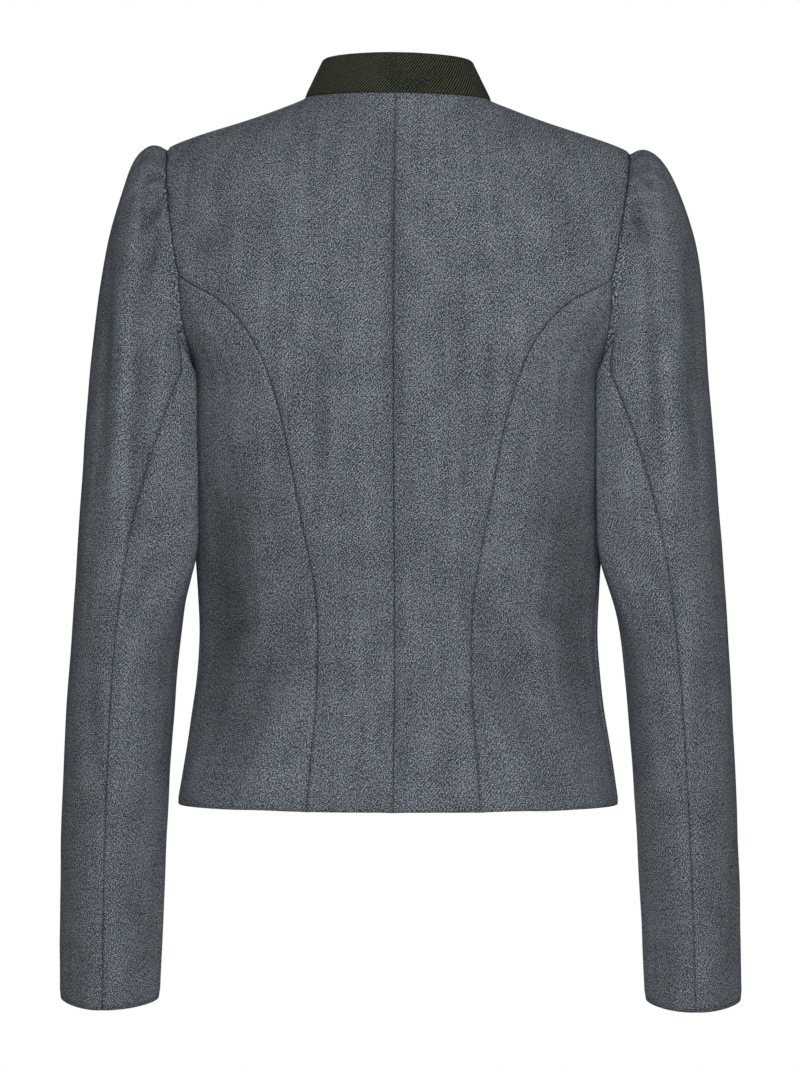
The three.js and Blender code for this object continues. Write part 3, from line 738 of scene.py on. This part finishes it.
# %% Loden
def loden(name, dark, middle, light, cool, warm, mottle=0.35, wale_weight=0.2):
    """A felted melange twill in three fibre colours, that leans to a cool or a warm tone in patches."""
    material = bpy.data.materials.new(name)
    material.use_nodes = True
    tree = material.node_tree
    shader = tree.nodes["Principled BSDF"]
    shader.inputs["Roughness"].default_value = 0.92
    shader.inputs["Specular IOR Level"].default_value = 0.18
    shader.inputs["Sheen Weight"].default_value = 0.04
    shader.inputs["Sheen Roughness"].default_value = 0.5
    shader.inputs["Sheen Tint"].default_value = (0.75, 0.8, 0.9, 1.0)
    cloth = node(tree, "ShaderNodeUVMap", uv_map="grain")

    def mapped(scale, turn=0.0):
        """The cloth's flat coordinates, scaled and turned for one texture."""
        mapping = node(tree, "ShaderNodeMapping")
        mapping.inputs["Scale"].default_value = scale
        mapping.inputs["Rotation"].default_value = (0.0, 0.0, turn)
        tree.links.new(cloth.outputs["UV"], mapping.inputs["Vector"])
        return mapping.outputs["Vector"]

    def fibres(scale, vector, detail=2.0, roughness=0.6):
        """A noise texture on those coordinates."""
        made = node(tree, "ShaderNodeTexNoise", Scale=scale, Detail=detail, Roughness=roughness)
        tree.links.new(vector, made.inputs["Vector"])
        return made.outputs["Fac"]

    twill = node(tree, "ShaderNodeTexWave", Scale=1.0, Distortion=1.6, Detail=2.0)
    twill.inputs["Detail Scale"].default_value = 1.3
    tree.links.new(mapped((175.0, 175.0, 1.0), radians(45)), twill.inputs["Vector"])
    streak = fibres(1.0, mapped((1400.0, 420.0, 1.0), radians(-45)), detail=1.0)
    fleck = fibres(1250.0, mapped((1.0, 1.0, 1.0)), detail=1.0, roughness=0.5)
    slub = fibres(1.0, mapped((130.0, 14.0, 1.0)), detail=2.0)
    drift = fibres(38.0, mapped((1.0, 1.0, 1.0)), detail=3.0)
    coming_and_going = fibres(26.0, mapped((1.0, 1.0, 1.0)))
    fade = node(tree, "ShaderNodeMapRange")
    fade.inputs["From Min"].default_value = 0.38
    fade.inputs["From Max"].default_value = 0.60
    fade.inputs["To Min"].default_value = 0.25
    tree.links.new(coming_and_going, fade.inputs["Value"])
    wale = node(tree, "ShaderNodeMix", data_type="FLOAT")
    wale.inputs["A"].default_value = 0.5
    tree.links.new(fade.outputs["Result"], wale.inputs["Factor"])
    tree.links.new(twill.outputs["Fac"], wale.inputs["B"])
    sum_of_all = weighed_sum(
        tree,
        [(streak, 1.0), (fleck, 2.15), (slub, 0.2), (drift, 0.24), (wale.outputs["Result"], wale_weight)],
    )
    ramp = node(tree, "ShaderNodeValToRGB")
    stops = ramp.color_ramp.elements
    stops[0].position = 0.15
    stops[0].color = (*dark, 1.0)
    stops[1].position = 0.88
    stops[1].color = (*light, 1.0)
    centre = stops.new(0.5)
    centre.color = (*middle, 1.0)
    tree.links.new(sum_of_all, ramp.inputs["Fac"])
    patches = fibres(75.0, mapped((1.0, 1.0, 1.0)), detail=3.0)
    spread = node(tree, "ShaderNodeMapRange")
    spread.inputs["From Min"].default_value = 0.35
    spread.inputs["From Max"].default_value = 0.65
    tree.links.new(patches, spread.inputs["Value"])
    tone = node(tree, "ShaderNodeMix", data_type="RGBA")
    tone.inputs["A"].default_value = (*cool, 1.0)
    tone.inputs["B"].default_value = (*warm, 1.0)
    tree.links.new(spread.outputs["Result"], tone.inputs["Factor"])
    tinted = node(tree, "ShaderNodeMix", data_type="RGBA", blend_type="MULTIPLY")
    tinted.inputs["Factor"].default_value = mottle
    tree.links.new(ramp.outputs["Color"], tinted.inputs["A"])
    tree.links.new(tone.outputs["Result"], tinted.inputs["B"])
    # Painted shade and highlight: the fibre colour is scaled down where folds and gathers press in and up
    # on ridges, standing in for the shade that falls in creases.
    painted_shade_depth = node(tree, "ShaderNodeAttribute", attribute_name="painted_shade_depth")
    shade = node(tree, "ShaderNodeMapRange")
    shade.inputs["From Min"].default_value = -0.004
    shade.inputs["From Max"].default_value = 0.010
    shade.inputs["To Min"].default_value = 1.22
    shade.inputs["To Max"].default_value = 0.45
    tree.links.new(painted_shade_depth.outputs["Fac"], shade.inputs["Value"])
    painted_shade_colour = node(tree, "ShaderNodeVectorMath", operation="SCALE")
    tree.links.new(tinted.outputs["Result"], painted_shade_colour.inputs[0])
    tree.links.new(shade.outputs["Result"], painted_shade_colour.inputs["Scale"])
    tree.links.new(painted_shade_colour.outputs["Vector"], shader.inputs["Base Color"])
    bump = node(tree, "ShaderNodeBump", Strength=0.55, Distance=0.0005)
    tree.links.new(sum_of_all, bump.inputs["Height"])
    tree.links.new(bump.outputs["Normal"], shader.inputs["Normal"])
    return material


# %% Dress the pieces in the two lodens
blue_grey_loden = loden(
    "blue_grey_loden",
    dark=(0.015, 0.018, 0.024), middle=(0.104, 0.121, 0.144), light=(0.45, 0.49, 0.55),
    cool=(0.90, 0.99, 1.05), warm=(1.05, 1.0, 0.94),
)
green_loden = loden(
    "green_loden",
    dark=(0.003, 0.004, 0.002), middle=(0.014, 0.017, 0.009), light=(0.100, 0.108, 0.070),
    cool=(0.9, 1.0, 0.95), warm=(1.06, 1.0, 0.92), wale_weight=1.8,
)
for name, cloth in shown.items():
    green = name == "stand_collar"
    cloth.data.materials.clear()
    cloth.data.materials.append(green_loden if green else blue_grey_loden)
print(len(shown), "pieces dressed in", blue_grey_loden.name, "and", green_loden.name)

# %% [markdown]
# The jacket closes down the front with five horn buttons. A horn button is turned on a lathe, so it
# is a profile spun round its axis: a rolled rim round a shallow dish. It is sewn on through four
# holes with thread in a cross, and behind each button is a worked buttonhole, a slot edged with
# closely laid stitches.

# %% Buttons and buttonholes
BUTTONS = [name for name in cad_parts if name.startswith("button_")]
BUTTON_PROFILE = [  # distance from the axis and height above the cloth
    (0.0000, 0.0000),
    (0.0070, 0.0000),
    (0.0088, 0.0006),
    (0.0098, 0.0018),
    (0.0100, 0.0026),
    (0.0096, 0.0036),
    (0.0088, 0.0040),
    (0.0078, 0.0036),
    (0.0066, 0.0028),
    (0.0040, 0.0025),
    (0.0000, 0.0024),
]
DISH = 0.0025  # height of the dish's floor, where the holes are
HOLE_AT = 0.0019
HOLE = 0.00065
THREAD = 0.00045
STITCH = 0.00055
SLOT_HALF = 0.0105
SLOT_WIDE = 0.0011
SLOT_ASIDE = 0.004
SHANK = 0.0008  # the button stands off the cloth by this much
STRAND_RISE = 0.35


def spun(bm, profile, steps):
    """Turns a profile of (distance, height) into a closed shape round the Z axis."""
    verts = [bm.verts.new((x, 0.0, z)) for x, z in profile]
    edges = [bm.edges.new(pair) for pair in zip(verts, verts[1:])]
    bmesh.ops.spin(
        bm, geom=verts + edges, cent=(0, 0, 0), axis=(0, 0, 1), angle=2 * pi, steps=steps, use_merge=True
    )
    bmesh.ops.remove_doubles(bm, verts=bm.verts, dist=1e-6)
    bmesh.ops.recalc_face_normals(bm, faces=bm.faces)


def ring(bm, radius, thickness, steps, sides=8):
    """A torus lying flat round the Z axis, and the verts it is made of."""
    turns = [2 * pi * number / sides for number in range(sides)]
    verts = [bm.verts.new((radius + thickness * cos(t), 0.0, thickness * sin(t))) for t in turns]
    edges = [bm.edges.new((verts[i], verts[(i + 1) % sides])) for i in range(sides)]
    before = set(bm.verts) - set(verts)
    bmesh.ops.spin(
        bm, geom=verts + edges, cent=(0, 0, 0), axis=(0, 0, 1), angle=2 * pi, steps=steps, use_merge=True
    )
    return [v for v in bm.verts if v not in before]


def put(name, bm, place, material, stands_for=None):
    """Turns a bmesh so that its Z axis faces out of the cloth, and makes it a piece."""
    bmesh.ops.recalc_face_normals(bm, faces=bm.faces)
    bmesh.ops.transform(bm, matrix=place, verts=bm.verts)
    mesh = bpy.data.meshes.new(name)
    bm.to_mesh(mesh)
    bm.free()
    mesh.shade_smooth()
    mesh.materials.append(material)
    piece = bpy.data.objects.new(name, mesh)
    bpy.context.scene.collection.objects.link(piece)
    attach(piece, "root")
    if stands_for:
        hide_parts(stands_for)
    return piece


# %% Horn and thread
def horn():
    """Polished horn: brown, with paler streaks that run through it."""
    material = bpy.data.materials.new("horn")
    material.use_nodes = True
    tree = material.node_tree
    shader = tree.nodes["Principled BSDF"]
    shader.inputs["Coat Weight"].default_value = 0.35
    shader.inputs["Coat Roughness"].default_value = 0.2
    place = node(tree, "ShaderNodeTexCoord")
    mapping = node(tree, "ShaderNodeMapping")
    mapping.inputs["Scale"].default_value = (260.0, 120.0, 700.0)
    tree.links.new(place.outputs["Object"], mapping.inputs["Vector"])
    streaks = node(tree, "ShaderNodeTexNoise", Scale=1.0, Detail=5.0, Roughness=0.6, Distortion=1.4)
    tree.links.new(mapping.outputs["Vector"], streaks.inputs["Vector"])
    ramp = node(tree, "ShaderNodeValToRGB")
    stops = ramp.color_ramp.elements
    stops[0].position = 0.32
    stops[0].color = (0.030, 0.016, 0.009, 1.0)
    stops[1].position = 0.72
    stops[1].color = (0.42, 0.30, 0.19, 1.0)
    middle = stops.new(0.5)
    middle.color = (0.150, 0.085, 0.045, 1.0)
    tree.links.new(streaks.outputs["Fac"], ramp.inputs["Fac"])
    tree.links.new(ramp.outputs["Color"], shader.inputs["Base Color"])
    gloss = node(tree, "ShaderNodeMapRange")
    gloss.inputs["To Min"].default_value = 0.28
    gloss.inputs["To Max"].default_value = 0.5
    tree.links.new(streaks.outputs["Fac"], gloss.inputs["Value"])
    tree.links.new(gloss.outputs["Result"], shader.inputs["Roughness"])
    bump = node(tree, "ShaderNodeBump", Strength=0.2, Distance=0.0003)
    tree.links.new(streaks.outputs["Fac"], bump.inputs["Height"])
    tree.links.new(bump.outputs["Normal"], shader.inputs["Normal"])
    return material


def twisted_thread(name, dark, light):
    """Sewing thread: fine slanting plies."""
    material = bpy.data.materials.new(name)
    material.use_nodes = True
    tree = material.node_tree
    shader = tree.nodes["Principled BSDF"]
    shader.inputs["Roughness"].default_value = 0.7
    place = node(tree, "ShaderNodeTexCoord")
    plies = node(tree, "ShaderNodeTexWave", Scale=900.0, Distortion=1.0)
    tree.links.new(place.outputs["Object"], plies.inputs["Vector"])
    ramp = node(tree, "ShaderNodeValToRGB")
    ramp.color_ramp.elements[0].color = (*dark, 1.0)
    ramp.color_ramp.elements[1].color = (*light, 1.0)
    tree.links.new(plies.outputs["Fac"], ramp.inputs["Fac"])
    tree.links.new(ramp.outputs["Color"], shader.inputs["Base Color"])
    bump = node(tree, "ShaderNodeBump", Strength=0.4, Distance=0.0002)
    tree.links.new(plies.outputs["Fac"], bump.inputs["Height"])
    tree.links.new(bump.outputs["Normal"], shader.inputs["Normal"])
    return material


# %% Sew on the buttons
horn_finish = horn()
thread_finish = twisted_thread("green_thread", (0.020, 0.028, 0.016), (0.075, 0.095, 0.055))
upper_front = shown["front_right"]
for name in BUTTONS:
    low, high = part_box(name)
    centre = (Vector(low) + Vector(high)) / 2
    _, at, out, _ = upper_front.closest_point_on_mesh(centre)
    upright = Vector((0.0, 0.0, 1.0))
    level = upright.cross(out).normalized()
    up = out.cross(level)
    turned = Matrix((level, up, out)).transposed().to_4x4()
    place = Matrix.Translation(at + out * SHANK) @ turned
    button = bmesh.new()
    spun(button, BUTTON_PROFILE, 48)
    put(name + "_horn", button, place, horn_finish, stands_for=name)
    sewing = bmesh.new()
    for quarter in range(4):
        angle = pi / 4 + quarter * pi / 2
        hole = ring(sewing, HOLE, THREAD / 2, 12)
        spot = (HOLE_AT * cos(angle), HOLE_AT * sin(angle), DISH)
        bmesh.ops.translate(sewing, verts=hole, vec=spot)
    for turn in (pi / 4, -pi / 4):
        for shift in (-0.5, 0.5):
            strand = ring(sewing, HOLE_AT, THREAD, 24)
            bmesh.ops.scale(sewing, verts=strand, vec=(1.0, STRAND_RISE, 1.0))
            bmesh.ops.rotate(
                sewing, verts=strand, cent=(0, 0, 0), matrix=Matrix.Rotation(pi / 2, 3, "X")
            )
            bmesh.ops.translate(sewing, verts=strand, vec=(0.0, shift * 2 * THREAD, DISH))
            bmesh.ops.rotate(sewing, verts=strand, cent=(0, 0, 0), matrix=Matrix.Rotation(turn, 3, "Z"))
    put(name + "_thread", sewing, place, thread_finish)
    buttonhole = bmesh.new()
    lip = ring(buttonhole, SLOT_WIDE, STITCH, 40)
    for vert in lip:
        vert.co.x += SLOT_HALF * (1 if vert.co.x > 0 else -1)
    place = Matrix.Translation(at - level * SLOT_ASIDE) @ turned
    put(name + "_buttonhole", buttonhole, place, thread_finish)
print(len(BUTTONS), "buttons with thread and buttonholes")

# %% [markdown]
# The light is one broad soft source close to the camera, so that the middle of the back is light
# and everything that rounds away gets darker. A second one stands in front of the jacket, and a
# faint one lights the floor, which is far below, where the wearer would stand.

# %% Lights
FLOOR_HEIGHT = -1.42
FLOOR_RADIUS = 3.2
WORLD_GLOW = 0.09


def soft_light(name, place, aim, size, power):
    """A rectangular lamp that looks at a place."""
    data = bpy.data.lights.new(name, "AREA")
    data.shape = "RECTANGLE"
    data.size, data.size_y = size
    data.energy = power
    lamp = bpy.data.objects.new(name, data)
    bpy.context.scene.collection.objects.link(lamp)
    lamp.visible_camera = False
    lamp.location = place
    lamp.rotation_euler = (Vector(aim) - Vector(place)).to_track_quat("-Z", "Y").to_euler()


heart = (0.0, 0.0, -0.30)
soft_light("key", (-0.22, 2.0, 0.42), heart, (0.8, 0.8), 28.0)
soft_light("front", (0.3, -2.0, 0.3), heart, (0.9, 0.9), 25.0)
soft_light("floor_light", (0.0, 0.0, -0.85), (0.0, 0.001, FLOOR_HEIGHT), (4.0, 4.0), 5.0)

world = bpy.data.worlds.new("studio")
bpy.context.scene.world = world
world.use_nodes = True
sky = world.node_tree
background = sky.nodes["Background"]
path = node(sky, "ShaderNodeLightPath")
brightness = node(sky, "ShaderNodeMapRange")
brightness.inputs["To Min"].default_value = WORLD_GLOW
brightness.inputs["To Max"].default_value = 1.0
sky.links.new(path.outputs["Is Camera Ray"], brightness.inputs["Value"])
sky.links.new(brightness.outputs["Result"], background.inputs["Strength"])
background.inputs["Color"].default_value = (1.0, 1.0, 1.0, 1.0)

# %% Floor
floor_mesh = bmesh.new()
bmesh.ops.create_circle(floor_mesh, cap_ends=True, radius=FLOOR_RADIUS, segments=64)
bmesh.ops.translate(floor_mesh, verts=floor_mesh.verts, vec=(0.0, 0.0, FLOOR_HEIGHT))
floor_data = bpy.data.meshes.new("floor")
floor_mesh.to_mesh(floor_data)
floor_mesh.free()
floor = bpy.data.objects.new("floor", floor_data)
bpy.context.scene.collection.objects.link(floor)
pale = bpy.data.materials.new("pale_floor")
pale.use_nodes = True
pale_shader = pale.node_tree.nodes["Principled BSDF"]
pale_shader.inputs["Base Color"].default_value = (0.82, 0.82, 0.81, 1.0)
pale_shader.inputs["Roughness"].default_value = 0.8
floor_data.materials.append(pale)
bpy.context.scene.view_settings.view_transform = "Standard"
print("floor at", FLOOR_HEIGHT)

# %% [markdown]
# Each piece of cloth prints how large it is when laid flat, across and up its grain coordinates.

for name in shown:
    layer = shown[name].data.uv_layers["grain"].data
    us = [corner.uv[0] for corner in layer]
    vs = [corner.uv[1] for corner in layer]
    print(name, "laid flat", round(max(us) - min(us), 3), "by", round(max(vs) - min(vs), 3))
